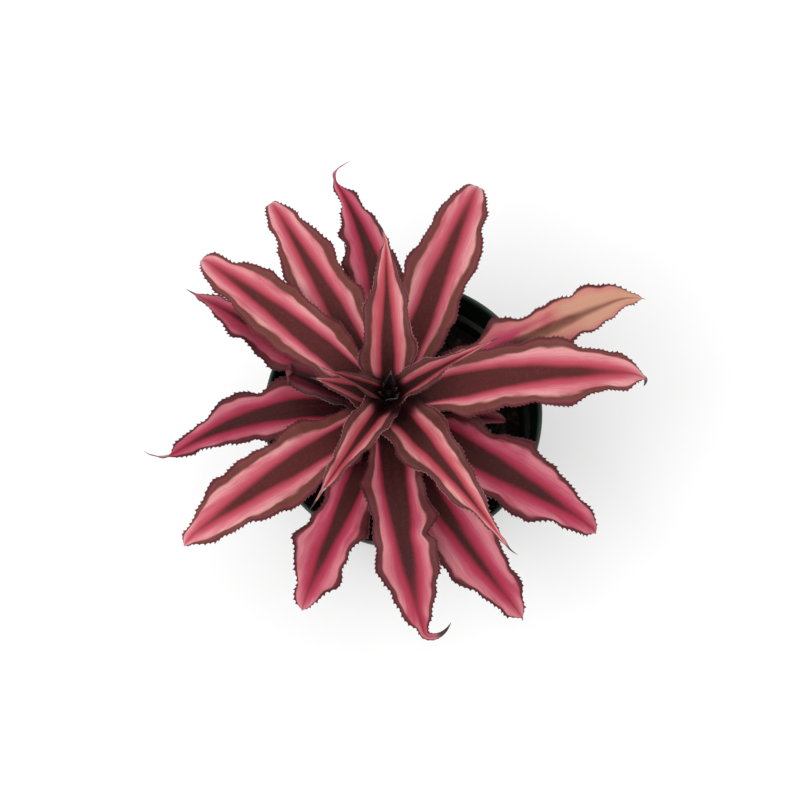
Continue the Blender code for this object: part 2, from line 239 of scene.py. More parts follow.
soil_rings = [(36.0, 2.2), (37.5, 6.0), (42.2, 36.0), (46.9, 64.0), (47.0, 65.2)]
soil_rings.append((SOIL_RADIUS, SOIL_EDGE))
for step in range(1, SOIL_RINGS + 1):
    ring = SOIL_RADIUS - step * SOIL_RING_STEP
    soil_rings.append((ring, soil_height(ring)))
soil = draw_up_rings(soil_rings, 150, "potting_mix_bed")
for name, size, depth, strength in (
    ("peat lumps", 0.012, 4, 2.6 * MM),
    ("peat crumbs", 0.0032, 3, 1.5 * MM),
):
    lumps = bpy.data.textures.new(name, "CLOUDS")
    lumps.noise_scale = size
    lumps.noise_depth = depth
    heave = soil.modifiers.new(name, "DISPLACE")
    heave.texture = lumps
    heave.texture_coords = "LOCAL"
    heave.direction = "Z"
    heave.strength = strength
    heave.mid_level = 0.55
top_of_bed = soil.vertex_groups.new(name="top")
on_top = [v.index for v in soil.data.vertices if v.co.z > (SOIL_EDGE - 0.5) * MM]
top_of_bed.add(on_top, 1.0, "REPLACE")
for heave in soil.modifiers:
    heave.vertex_group = top_of_bed.name
apply_all(soil)
bpy.ops.object.shade_smooth()


def new_group(name, takes, gives):
    """An empty shader node group with these sockets: the group, what it is given, its results."""
    group = bpy.data.node_groups.new(name, "ShaderNodeTree")
    for in_out, sockets in (("INPUT", takes), ("OUTPUT", gives)):
        for socket, kind in sockets:
            group.interface.new_socket(socket, in_out=in_out, socket_type="NodeSocket" + kind)
    start, end = group.nodes.new("NodeGroupInput"), group.nodes.new("NodeGroupOutput")
    return group, start.outputs, end.inputs


crumbly, given, result = new_group(
    "Peat crumb",
    (("Place", "Vector"), ("Dark", "Color"), ("Light", "Color")),
    (("Colour", "Color"), ("Relief", "Float")),
)
grit = put(crumbly, "TexNoise", vector=given["Place"], scale=420, detail=6, roughness=0.7)
grit = grit.outputs[0]
clods = put(crumbly, "TexVoronoi", vector=given["Place"], scale=520).outputs["Distance"]
tint = blend_colours(crumbly, fade(crumbly, grit, 0.35, 0.72), given["Dark"], given["Light"])
# painted shade: the pits between the clods, where the relief is low, are painted near black
painted_pit_shade = fade(crumbly, clods, 0.1, 0.6, 0.55, 0.0)
tint = blend_colours(crumbly, painted_pit_shade, tint, (0.006, 0.004, 0.003))
crumbly.links.new(tint, result["Colour"])
crumbly.links.new(maths(crumbly, "MULTIPLY_ADD", clods, 0.5, grit), result["Relief"])


def peat_material(name, dark, light, roughness):
    made, tree, shader = new_material(name)
    crumb = tree.nodes.new("ShaderNodeGroup")
    crumb.node_tree = crumbly
    tree.links.new(put(tree, "TexCoord").outputs["Object"], crumb.inputs["Place"])
    crumb.inputs["Dark"].default_value = (*dark, 1)
    crumb.inputs["Light"].default_value = (*light, 1)
    tree.links.new(crumb.outputs["Colour"], shader.inputs["Base Color"])
    bump = put(tree, "Bump", strength=0.8, distance=0.0004, height=crumb.outputs["Relief"])
    tree.links.new(bump.outputs[0], shader.inputs["Normal"])
    shader.inputs["Roughness"].default_value = roughness
    shader.inputs["Specular IOR Level"].default_value = 0.25
    return made


moist = peat_material("moist peat", (0.004, 0.003, 0.0022), (0.022, 0.013, 0.009), 0.9)
soil.data.materials.append(moist)
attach(soil, "root")
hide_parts("potting_mix")


GRAINS_FROM = 9.0  # the loose grains lie between these distances from the pot's middle
GRAINS_TO = 45.5


def scatter_grains(name, count, size, flat, seed, facets=1):
    """Copies of one rough grain strewn over the bed, joined in one piece. size is its smallest and
    largest radius in millimetres, and flat how thick it is for its width."""
    dice = random.Random(seed)
    drop_selection()
    bpy.ops.mesh.primitive_ico_sphere_add(subdivisions=facets, radius=1)
    grain = bpy.context.object
    corners = np.array([v.co[:] for v in grain.data.vertices])
    corners *= np.array([[0.75 + 0.5 * dice.random()] for _ in corners])
    faces = [tuple(face.vertices) for face in grain.data.polygons]
    bpy.data.objects.remove(grain)
    all_corners, all_faces = [], []
    for _ in range(count):
        turn = 2 * math.pi * dice.random()
        reach = GRAINS_FROM + (GRAINS_TO - GRAINS_FROM) * math.sqrt(dice.random())
        if reach > GRAINS_TO - 0.1:
            continue
        radius = size[0] + (size[1] - size[0]) * dice.random() ** 2
        spin = Matrix.Rotation(6.3 * dice.random(), 3, "Z")
        spin @= Matrix.Rotation(0.5 * dice.random(), 3, "X")
        long = 1 + 1.2 * (1 - flat) * dice.random()
        shape = corners * np.array([radius * long, radius, radius * flat])
        shape = shape @ np.array(spin).T
        level = soil_height(reach) + 0.35 * radius * flat
        shape += (reach * math.cos(turn), reach * math.sin(turn), level)
        start = len(all_corners) * len(corners)
        all_corners.append(shape * MM)
        all_faces += [tuple(start + i for i in face) for face in faces]
    mesh = bpy.data.meshes.new(name)
    mesh.from_pydata(np.concatenate(all_corners).tolist(), [], all_faces)
    made = bpy.data.objects.new(name, mesh)
    bpy.context.scene.collection.objects.link(made)
    return made


crumbs = scatter_grains("peat_crumbs", 1500, (0.35, 1.1), 0.8, 3)
chips = scatter_grains("bark_chips", 190, (1.0, 3.1), 0.3, 8)
grains = scatter_grains("perlite_grains", 40, (0.5, 1.0), 0.85, 5, 2)
for strewn, name, dark, light, roughness in (
    (crumbs, "peat crumb", (0.003, 0.0022, 0.0018), (0.020, 0.012, 0.008), 0.92),
    (chips, "bark chip", (0.010, 0.006, 0.004), (0.060, 0.032, 0.019), 0.85),
    (grains, "perlite", (0.30, 0.28, 0.25), (0.62, 0.60, 0.56), 0.8),
):
    strewn.data.materials.append(peat_material(name, dark, light, roughness))
    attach(strewn, "root")

# --- Stem with its roots -----------------------------------------------------------------------
# One short woody stem, thick as a pencil and ringed by the scars of fallen leaves, with wiry
# roots that run down through the mix. It shows only between the lowest leaves.

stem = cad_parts["stem_and_roots"]
bark, tree, shader = new_material("ringed brown stem")
place = put(tree, "TexCoord").outputs["Object"]
rings = put(tree, "TexWave", vector=place, bands_direction="Z", scale=180, distortion=2.5, detail=3)
rings = rings.outputs["Fac"]
fleck = put(tree, "TexNoise", vector=place, scale=500, detail=5).outputs[0]
brown = blend_colours(tree, rings, (0.030, 0.016, 0.009), (0.135, 0.085, 0.050))
brown = blend_colours(tree, fade(tree, fleck, 0.5, 0.75, 0, 0.6), brown, (0.18, 0.13, 0.09))
height = put(tree, "SeparateXYZ", vector=place).outputs["Z"]
# painted shade: from 80 mm up, where the leaf feet cover it, the stem is painted near black
brown = blend_colours(tree, fade(tree, height, 0.080, 0.096), brown, (0.004, 0.002, 0.002))
tree.links.new(brown, shader.inputs["Base Color"])
bump = put(tree, "Bump", strength=0.8, distance=0.0003, height=maths(tree, "ADD", rings, fleck))
tree.links.new(bump.outputs[0], shader.inputs["Normal"])
shader.inputs["Roughness"].default_value = 0.82
shader.inputs["Specular IOR Level"].default_value = 0.12
stem.data.materials.clear()
stem.data.materials.append(bark)

# --- Small low leaves --------------------------------------------------------------------------
# Three short leaves at the foot of the stem, stiff and leathery like all the others, with a saw
# edge and silvery scurf beneath. They are shaded by the rest, deep maroon, and curl at the tip;
# one old leaf a little higher has rolled back on itself.

STEM_PLACE = Vector((-5.5 * MM, 1.5 * MM, 0))
STEM_RADIUS = 5.0
STEM_TIP_RADIUS = 1.2
LEAF_LAYER = 1.5  # how much higher up the stem each next layer of leaves stands
STEM_NARROWS = SOIL_CROWN + 16
STEM_TOP = SOIL_CROWN + 21.1 * LEAF_LAYER
CURL_START = 0.86  # the share of a leaf's length where its tip begins to curl
MIDRIB_STEPS = 4  # in which the midrib's curve is followed from one row to the next

# heading is where the leaf points from the stem, anticlockwise from +X; layer counts the leaf
# layers from the mix up to its foot; rise is its slope there and droop how much of that it loses;
# sweep turns it sideways, fold is how far each half stands up, neck is the foot's width as a share
# of the broadest part, which lies at the share widest of the length; point is the outline's power
# towards the tip, tail a thin dry tip, curl and hook how far the tip bends down and sideways.
# waves, ripple and phase are the count, height and start of the waves along the edges. Lengths are
# in millimetres and angles in degrees.
Leaf = namedtuple(
    "Leaf",
    "name heading length width layer rise droop sweep fold neck widest point tail curl hook waves"
    " ripple phase",
)


def ease(share):
    """A smooth start and end for a share that goes from 0 to 1."""
    share = np.clip(share, 0.0, 1.0)
    return share * share * (3 - 2 * share)


def leaf_way(leaf, share, high, turn, dip):
    """The midrib's heading and direction at this share of the length. Past the blade's end, from
    1 to high, the dry point takes its own turn and dip."""
    beyond = np.sqrt(np.clip((share - 1) / (high - 1), 0, 1))
    share = np.clip(share, 0, 1)
    tip = ease((share - CURL_START) / (1 - CURL_START))
    heading = np.radians(leaf.heading + leaf.sweep * share + leaf.hook * tip + turn * beyond)
    slope = np.radians(leaf.rise - leaf.droop * share**1.2 - leaf.curl * tip - dip * beyond)
    return heading, np.stack(
        (np.cos(slope) * np.cos(heading), np.cos(slope) * np.sin(heading), np.sin(slope)), -1
    )


def lay_midrib(leaf, low, high, rows, turn, dip):
    """The midrib's points, one for each row of the grid, with the foot of the blade at zero."""
    fine = np.linspace(low, high, rows * MIDRIB_STEPS + 1)
    _, way = leaf_way(leaf, (fine[1:] + fine[:-1]) / 2, high, turn, dip)
    steps = way * (fine[1] - fine[0]) * leaf.length
    line = np.concatenate((np.zeros((1, 3)), np.cumsum(steps, 0)))
    line -= line[round(rows * MIDRIB_STEPS * -low / (high - low))]
    return line[::MIDRIB_STEPS]


def stem_radius(height):
    """The stem's radius at this height: even at first, then thinner towards its top."""
    thin = min(max((height - STEM_NARROWS) / (STEM_TOP - STEM_NARROWS), 0), 1)
    return STEM_RADIUS + (STEM_TIP_RADIUS - STEM_RADIUS) * thin


def half_width(leaf, share):
    """Half the blade's width in millimetres, without the spine at the tip."""
    blade_end = 1 - leaf.tail / leaf.length
    rising = leaf.neck + (1 - leaf.neck) * np.sin(np.pi / 2 * np.clip(share / leaf.widest, 0, 1))
    past = np.clip((share - leaf.widest) / (blade_end - leaf.widest), 0, 1)
    return np.where(share < leaf.widest, rising, 1 - past**leaf.point) * leaf.width / 2


TOOTH = 1.65  # distance from one tooth of the saw edge to the next
TOOTH_SHAPE = (0.0, 0.12, 0.45, 1.0, 0.10)  # how far each row of a tooth stands out
RAGGED_WAVES = ((21, 0.60), (10.5, 0.34), (5.6, 0.12))  # their lengths and heights
COLUMNS = 26
THICKNESS_STEPS = 20
FOOT = 3.0  # how far the blade runs on under its neighbours to meet the stem
FOOT_GAP = 0.5  # between the stem and the start of the blade's length
CLASP_REACH = 9.0  # how far out from the stem the foot still bends round it


def ragged_edges(dice, along, left):
    """Three ragged waves of different length run along each edge from random starts: how far they
    push it out, and how far up."""
    in_out, up_down = np.zeros(len(along)), np.zeros(len(along))
    for length, size in RAGGED_WAVES:
        for which in (left, ~left):
            start, rise = 6.3 * dice.random(), 6.3 * dice.random()
            in_out[which] += size * np.sin(2 * np.pi * along[which] / length + start)
            up_down[which] += size * np.sin(2 * np.pi * along[which] / (1.13 * length) + rise)
    return in_out, up_down


def cut_teeth(dice, teeth, toothed, row, even, share, half):
    """How far each point of the grid stands out in its tooth; each tooth has its own height, and
    they fade out at the foot and where the blade is narrow."""
    jag = np.zeros(len(row))
    heights = {
        (edge_side, tooth): toothed * (0.5 + 0.8 * dice.random())
        for edge_side in (0, 1)
        for tooth in range(teeth + 2)
    }
    for i in np.flatnonzero(np.abs(even) > 1 - 1.6 * 2 / COLUMNS):
        tooth, step = divmod(int(row[i]) + (2 if even[i] > 0 else 0), len(TOOTH_SHAPE))
        small = ease(share[i] / 0.06) * ease((half[i] - 0.5) / 2.0)
        jag[i] = np.sign(even[i]) * heights[int(even[i] > 0), tooth] * TOOTH_SHAPE[step] * small
        jag[i] *= 1.0 if abs(even[i]) > 1 - 1 / COLUMNS else 0.25
    return jag


def thicken(blade, solid, thickness, face, back):
    """Gives the sheet its thickness downwards, and its two faces. solid is the share of the whole
    thickness that each point has."""
    thick = blade.vertex_groups.new(name="thick")
    for level in range(1, THICKNESS_STEPS + 1):
        chosen = np.flatnonzero(np.rint(np.clip(solid, 0.05, 1) * THICKNESS_STEPS) == level)
        thick.add([int(i) for i in chosen], level / THICKNESS_STEPS, "REPLACE")
    body = blade.modifiers.new("thickness", "SOLIDIFY")
    body.thickness = thickness * MM
    body.offset = -1
    body.vertex_group = thick.name
    body.material_offset = 1
    body.use_rim = True
    blade.data.materials.append(face)
    blade.data.materials.append(back)
    apply_all(blade)
    bpy.ops.object.shade_smooth_by_angle(angle=math.radians(62))
    blade.vertex_groups.clear()


def grow_leaf(leaf, face, back, thickness=0.9, toothed=0.62, ragged=1.0, spine=(2.2, 0, 0, 0.75),
              bays=(), look=(1, 1, 0)):
    """One leaf from a flat grid: each row is laid on the midrib's curve, its halves are folded up
    and waved, the edge is cut into teeth, and the sheet gets its thickness. spine is the length
    of the dry point at the tip, how far it turns sideways and down, and half its width. Each of
    bays pushes one edge out, or in when negative: side, share of the length, millimetres, and
    how far it reaches. look scales the middle band and the cream, and darkens."""
    dice = random.Random(leaf.name)
    spine_long, spine_turn, spine_dip, spine_half = spine
    low, high = -FOOT / leaf.length, 1 + spine_long / leaf.length
    teeth = round((leaf.length + spine_long + FOOT) / TOOTH)
    rows = teeth * len(TOOTH_SHAPE)
    drop_selection()
    bpy.ops.mesh.primitive_grid_add(x_subdivisions=rows, y_subdivisions=COLUMNS, size=2)
    blade = bpy.context.object
    blade.name = leaf.name + "_blade"
    flat = np.array([vertex.co[:] for vertex in blade.data.vertices])
    row = np.rint((flat[:, 0] + 1) / 2 * rows).astype(int)
    even = flat[:, 1]
    side = np.sign(even) * (1 - (1 - np.abs(even)) ** 1.25)  # columns crowd towards the edge

    # the midrib leaves the stem at the leaf's own height; across and out turn with it
    foot = SOIL_CROWN + leaf.layer * LEAF_LAYER
    stem_here = stem_radius(foot) + FOOT_GAP
    angle = math.radians(leaf.heading)
    line = lay_midrib(leaf, low, high, rows, spine_turn, spine_dip)
    line += (stem_here * math.cos(angle), stem_here * math.sin(angle), foot)
    shares = np.linspace(low, high, rows + 1)
    heading, way = leaf_way(leaf, shares, high, spine_turn, spine_dip)
    across = np.stack((-np.sin(heading), np.cos(heading), np.zeros_like(heading)), -1)
    out = np.cross(way, across)

    # the outline, where the dry point grows out of the blade's end and narrows to nothing
    share = shares[row]
    along = share * leaf.length
    blade_end = 1 - leaf.tail / leaf.length
    point = spine_half * np.clip((high - share) / (high - blade_end + 0.05), 0.03, 1) ** 0.8
    half = np.maximum(half_width(leaf, share), point)

    # its two halves, folded up along the midrib, waved and ragged at the edge, and lobed
    left = side > 0
    fold = math.radians(leaf.fold)
    wave = 2 * np.pi * leaf.waves * share + math.radians(leaf.phase) + np.where(left, 1.9, 0.0)
    calm = ease(share / 0.2) * ease((1 - share) / 0.25)
    edge = np.abs(side) ** 2.2 * calm
    in_out, up_down = ragged_edges(dice, along, left)
    rough_edge = np.abs(side) ** 3 * ease(share / 0.12) * ease((1 - share) / 0.08) * ragged
    width = half * side * math.cos(fold) * (1 + 0.09 * edge * np.cos(wave))
    width += np.sign(side) * in_out * rough_edge
    for which, at, push, reach in bays:
        bay = np.exp(-(((share - at) / reach) ** 2)) * np.abs(side) ** 1.5
        bay *= left if which > 0 else ~left
        width += which * push * bay
        up_down += 0.5 * push * bay * np.abs(side) ** 2
    lift = half * math.sin(fold) * np.abs(side) ** 1.3 + leaf.ripple * edge * np.sin(wave)
    lift += 0.9 * up_down * rough_edge * min(1, leaf.ripple)
    # lengthwise folds across the blade, and a groove along the midrib
    plump = half / (leaf.width / 2) * ease((1 - share) / 0.2)
    lift += 0.22 * plump * np.cos(side * 9.5) * ease(share / 0.1)
    lift -= 0.40 * plump * np.exp(-((side / 0.08) ** 2))
    # the foot wraps round the stem
    clasp = np.minimum(width**2 / (2 * stem_here + 2), 5)
    clasp *= np.clip(1 - along / CLASP_REACH, 0, 1) ** 2

    jag = cut_teeth(dice, teeth, toothed, row, even, share, half)
    width += jag

    # every point goes to its place, and carries what the stripes read there
    place = line[row] + across[row] * width[:, None] + out[row] * lift[:, None]
    place += way[row] * (0.6 * np.abs(jag) - clasp)[:, None]
    place = place * MM + np.array(STEM_PLACE)
    blade.data.vertices.foreach_set("co", place.astype(np.float32).ravel())
    same = np.ones(len(flat))
    for name, values in (
        ("leaf_share", (side, share, along / 10)),
        ("leaf_mm", (half * side, along, same * (leaf.heading % 37))),
        ("leaf_look", [same * value for value in look]),
    ):
        written = blade.data.attributes.new(name, "FLOAT_VECTOR", "POINT").data
        written.foreach_set("vector", np.stack(values, -1).astype(np.float32).ravel())
    solid = (1 - 0.62 * np.abs(side) ** 1.5) * (1 - 0.45 * np.clip(share, 0, 1))
    solid *= np.clip(half / 1.2, 0.3, 1)
    thicken(blade, solid, thickness, face, back)
    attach(blade, "root")
    if leaf.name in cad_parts:
        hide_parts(leaf.name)


LEAF_PLACES = {"Share": "leaf_share", "Millimetres": "leaf_mm", "Look": "leaf_look"}
LEAF_COLOURS = ("Rose", "Pink", "Cream", "Band", "Margin", "Edge", "Tooth", "Dry")
LEAF_AMOUNTS = (
    "Band width", "Margin start", "Cream amount", "Crown shade", "Tip fade", "Faded from"
)
# colours that all leaves share: the silvery scurf, the foot of the middle band, the painted shade
# of the crown on each foot (partly its own deep red), and the painted shade of a leaf under others
SCURF = (0.62, 0.47, 0.45)
BAND_FOOT = (0.016, 0.0030, 0.0030)
CROWN_PAINTED_SHADE = (0.016, 0.0026, 0.0036)
SHADE = (0.010, 0.003, 0.0035)
stripes, given, result = new_group(
    "Leaf stripes",
    [(name, "Vector") for name in LEAF_PLACES]
    + [(name, "Color") for name in LEAF_COLOURS]
    + [(name, "Float") for name in LEAF_AMOUNTS],
    (("Colour", "Color"), ("Roughness", "Float"), ("Relief", "Float")),
)


def leaf_noise(tree, millimetres, across, along, **settings):
    """Noise stretched along the leaf: how many lumps a millimetre across and along it has."""
    mapped = put(tree, "Mapping", vector=millimetres, scale=(across, along, 1)).outputs[0]
    return put(tree, "TexNoise", vector=mapped, scale=1, **settings).outputs[0]


def sway(value, noise, amount):
    """The value pushed up and down by a noise that runs from 0 to 1."""
    return maths(stripes, "MULTIPLY_ADD", maths(stripes, "SUBTRACT", noise, 0.5), amount, value)


def times(first, second, clamp=False):
    """One value times the other, held between 0 and 1 if it is clamped."""
    return maths(stripes, "MULTIPLY", first, second, clamp=clamp)


def paint(under, over, factor):
    """One colour laid over another, the more strongly the nearer the factor is to 1."""
    return blend_colours(stripes, factor, under, over)


side, share, reach = put(stripes, "SeparateXYZ", vector=given["Share"]).outputs
band_look, cream_look, shade_look = put(stripes, "SeparateXYZ", vector=given["Look"]).outputs
slow = leaf_noise(stripes, given["Millimetres"], 0.10, 0.06, detail=3)
patch = leaf_noise(stripes, given["Millimetres"], 0.20, 0.042, detail=3, roughness=0.55)
fibre = leaf_noise(stripes, given["Millimetres"], 2.4, 0.07, detail=4, roughness=0.6)
bars = leaf_noise(stripes, given["Millimetres"], 0.45, 0.8, detail=4, roughness=0.6, distortion=0.8)
grain = leaf_noise(stripes, given["Millimetres"], 5.0, 3.0, detail=3, roughness=0.7)
scales = put(stripes, "Mapping", vector=given["Millimetres"], scale=(1.3, 0.8, 1)).outputs[0]
scales = put(stripes, "TexVoronoi", vector=scales, scale=3.6, randomness=1.0).outputs["Distance"]

# how far out from the midrib this spot is, from 0 to 1, with the stripes' own wander
far = sway(sway(maths(stripes, "ABSOLUTE", side), slow, 0.14), fibre, 0.05)
band_edge = times(times(given["Band width"], band_look), maths(stripes, "SUBTRACT", 1.13, share))
margin_edge = sway(maths(stripes, "MULTIPLY_ADD", share, 0.19, given["Margin start"]), patch, 0.34)


def beyond_edge(edge, soft):
    """From 0 to 1 as a spot goes out over this edge, which is soft this far to each side."""
    inner, outer = maths(stripes, "SUBTRACT", edge, soft), maths(stripes, "ADD", edge, soft)
    return fade(stripes, far, inner, outer)


in_pink = beyond_edge(band_edge, fade(stripes, share, 0.2, 0.95, 0.075, 0.14))
in_margin = beyond_edge(margin_edge, 0.05)
# how far across the pink stripe this spot is, from its inner edge to its outer one
past_band = maths(stripes, "SUBTRACT", far, band_edge)
pink_width = maths(stripes, "SUBTRACT", margin_edge, band_edge)
through = maths(stripes, "DIVIDE", past_band, pink_width, clamp=True)
creamy = times(given["Cream amount"], cream_look)
creamy = times(creamy, fade(stripes, patch, 0.30, 0.66, 0.25, 1.35))
creamy = times(creamy, fade(stripes, share, 0.1, 0.6, 0.55, 1.15))
creamy = times(creamy, fade(stripes, through, 0.25, 0.95), clamp=True)
# painted highlight: the last share of each tip is lightened towards cream in patches
pale = times(fade(stripes, share, 0.86, 1.0), fade(stripes, patch, 0.35, 0.55))
pink = paint(given["Rose"], given["Pink"], fade(stripes, through, 0.05, 0.68))
pink = paint(pink, given["Cream"], creamy)
pink = paint(pink, given["Rose"], fade(stripes, patch, 0.56, 0.30, 0.0, 0.55))
pink = paint(pink, given["Rose"], fade(stripes, fibre, 0.28, 0.62, 0.35, 0.0))
pink = paint(pink, given["Cream"], times(pale, 0.6))
band = paint(given["Band"], given["Rose"], fade(stripes, share, 0.70, 1.0, 0.0, 0.8))
band = paint(band, BAND_FOOT, fade(stripes, reach, 0.8, 3.0, 0.75, 0.0))
band = paint(band, given["Margin"], fade(stripes, bars, 0.46, 0.68, 0.0, 0.16))
# an old leaf fades from here to its tip, its pink to cream and its dark stripes to light brown
faded = maths(stripes, "ADD", given["Faded from"], 0.28)
aged = fade(stripes, sway(share, patch, 0.8), given["Faded from"], faded)
pink = paint(pink, given["Cream"], times(aged, fade(stripes, through, 0.5, 1.0, 0.90, 0.30)))
band = paint(band, given["Dry"], times(aged, 0.75))
rim = paint(given["Margin"], given["Edge"], fade(stripes, far, 0.80, 0.93))
rim = paint(rim, given["Band"], fade(stripes, far, 0.90, 0.97, 0.0, 0.8))
rim = paint(rim, given["Tooth"], fade(stripes, far, 0.975, 1.01))
rim = paint(rim, given["Band"], fade(stripes, bars, 0.45, 0.70, 0.0, 0.25))
colour = paint(band, pink, in_pink)
colour = paint(colour, rim, in_margin)
# silvery scurf: fine scales that catch most on the dark stripes
flecks = times(fade(stripes, scales, 0.34, 0.10), fade(stripes, grain, 0.50, 0.66))
thin = fade(stripes, in_pink, 0.0, 1.0, 0.42, 0.12)
colour = paint(colour, SCURF, times(flecks, thin))
colour = paint(colour, given["Band"], fade(stripes, grain, 0.58, 0.36, 0.0, 0.30))
# the foot darkens into the crown, partly its own deep red and partly painted shade; the very tip is
# dry
lit = maths(stripes, "ADD", given["Crown shade"], 0.55)
crown_painted_shade = fade(stripes, sway(reach, patch, 0.5), given["Crown shade"], lit, 0.95, 0.0)
colour = paint(colour, CROWN_PAINTED_SHADE, crown_painted_shade)
colour = paint(colour, SHADE, shade_look)
dead = maths(stripes, "ADD", given["Tip fade"], 0.035)
colour = paint(colour, given["Dry"], fade(stripes, share, given["Tip fade"], dead))
stripes.links.new(colour, result["Colour"])
rough = maths(stripes, "MULTIPLY_ADD", flecks, 0.2, fade(stripes, fibre, 0.3, 0.7, 0.46, 0.56))
stripes.links.new(rough, result["Roughness"])
relief = maths(stripes, "MULTIPLY_ADD", grain, 0.30, fibre)
relief = maths(stripes, "MULTIPLY_ADD", bars, 0.35, relief)
relief = maths(stripes, "MULTIPLY_ADD", flecks, 0.25, relief)
stripes.links.new(relief, result["Relief"])


def leaf_face(name, rose, pink, cream, band, margin, edge, band_width=0.36, margin_start=0.66,
              cream_amount=0.8, crown_shade=0.25, tip_fade=0.985, dry=(0.055, 0.036, 0.034),
              tooth=(0.13, 0.040, 0.046), faded_from=2.0):
    """The striped upper face. Widths are shares of the half blade, and the crown shade is how many
    centimetres of the foot stay dark; a leaf fades from this share of its length, or not at 2."""
    made, tree, shader = new_material(name)
    group = tree.nodes.new("ShaderNodeGroup")
    group.node_tree = stripes
    for socket, attribute in LEAF_PLACES.items():
        read = put(tree, "Attribute", attribute_name=attribute).outputs["Vector"]
        tree.links.new(read, group.inputs[socket])
    for socket, colour in zip(LEAF_COLOURS, (rose, pink, cream, band, margin, edge, tooth, dry)):
        group.inputs[socket].default_value = (*colour, 1)
    amounts = (band_width, margin_start, cream_amount, crown_shade, tip_fade, faded_from)
    for socket, amount in zip(LEAF_AMOUNTS, amounts):
        group.inputs[socket].default_value = amount
    tree.links.new(group.outputs["Colour"], shader.inputs["Base Color"])
    tree.links.new(group.outputs["Roughness"], shader.inputs["Roughness"])
    bump = put(tree, "Bump", strength=0.5, distance=0.00022, height=group.outputs["Relief"])
    tree.links.new(bump.outputs[0], shader.inputs["Normal"])
    shader.inputs["Specular IOR Level"].default_value = 0.16
    return made


leaf_back, tree, shader = new_material("silvery leaf back")
millimetres = put(tree, "Attribute", attribute_name="leaf_mm").outputs["Vector"]
lines = leaf_noise(tree, millimetres, 3.0, 0.1, detail=4)
scales = leaf_noise(tree, millimetres, 7, 5, detail=2)
lined = fade(tree, lines, 0.35, 0.65)
silver = blend_colours(tree, lined, (0.24, 0.150, 0.145), (0.42, 0.32, 0.31))
silver = blend_colours(tree, fade(tree, scales, 0.45, 0.7, 0.0, 0.6), silver, (0.52, 0.44, 0.43))
tree.links.new(silver, shader.inputs["Base Color"])
bump = put(tree, "Bump", strength=0.6, distance=0.0002, height=maths(tree, "ADD", lines, scales))
tree.links.new(bump.outputs[0], shader.inputs["Normal"])
shader.inputs["Roughness"].default_value = 0.62

shaded_face = leaf_face(
    "shaded maroon leaf", (0.20, 0.016, 0.036), (0.31, 0.050, 0.085), (0.38, 0.14, 0.14),
    (0.034, 0.006, 0.007), (0.095, 0.030, 0.029), (0.20, 0.080, 0.088), 0.36, 0.70, 0.5, 0.5, 0.97,
    tooth=(0.34, 0.20, 0.21),
)
for leaf in (
    Leaf("pup_leaf_1", 105, 65, 12, 2.0, 26, 26, 0, 24, 0.6, 0.4, 1.6, 0, 30, 0, 2, 0.6, 0),
    Leaf("pup_leaf_2", 168, 39, 11, 1.2, 18, 34, 0, 24, 0.6, 0.4, 1.9, 0, 60, 0, 2, 0.8, 90),
    Leaf("pup_leaf_3", -4, 43, 12, 1.5, 20, 36, 0, 24, 0.6, 0.4, 1.9, 0, 60, 0, 2, 0.8, 40),
):
    grow_leaf(leaf, shaded_face, leaf_back, toothed=0.4, ragged=0.6)
grow_leaf(
    Leaf("rolled_leaf_1", 164, 42, 14, 6.4, 27, 14, 0, 24, 0.6, 0.55, 6.0, 0, -250, 10, 2, 1.2, 0),
    shaded_face, shaded_face, toothed=0.45, spine=(1.2, 0, 0, 0.4), look=(1.5, 0.3, 0.5),
)

# --- Outer leaves ------------------------------------------------------------------------------
# The oldest seven leaves, lowest on the stem and laid out over the rim. They are a deep magenta
# with a dark maroon band; the one on the right has faded to cream and olive towards its tip.

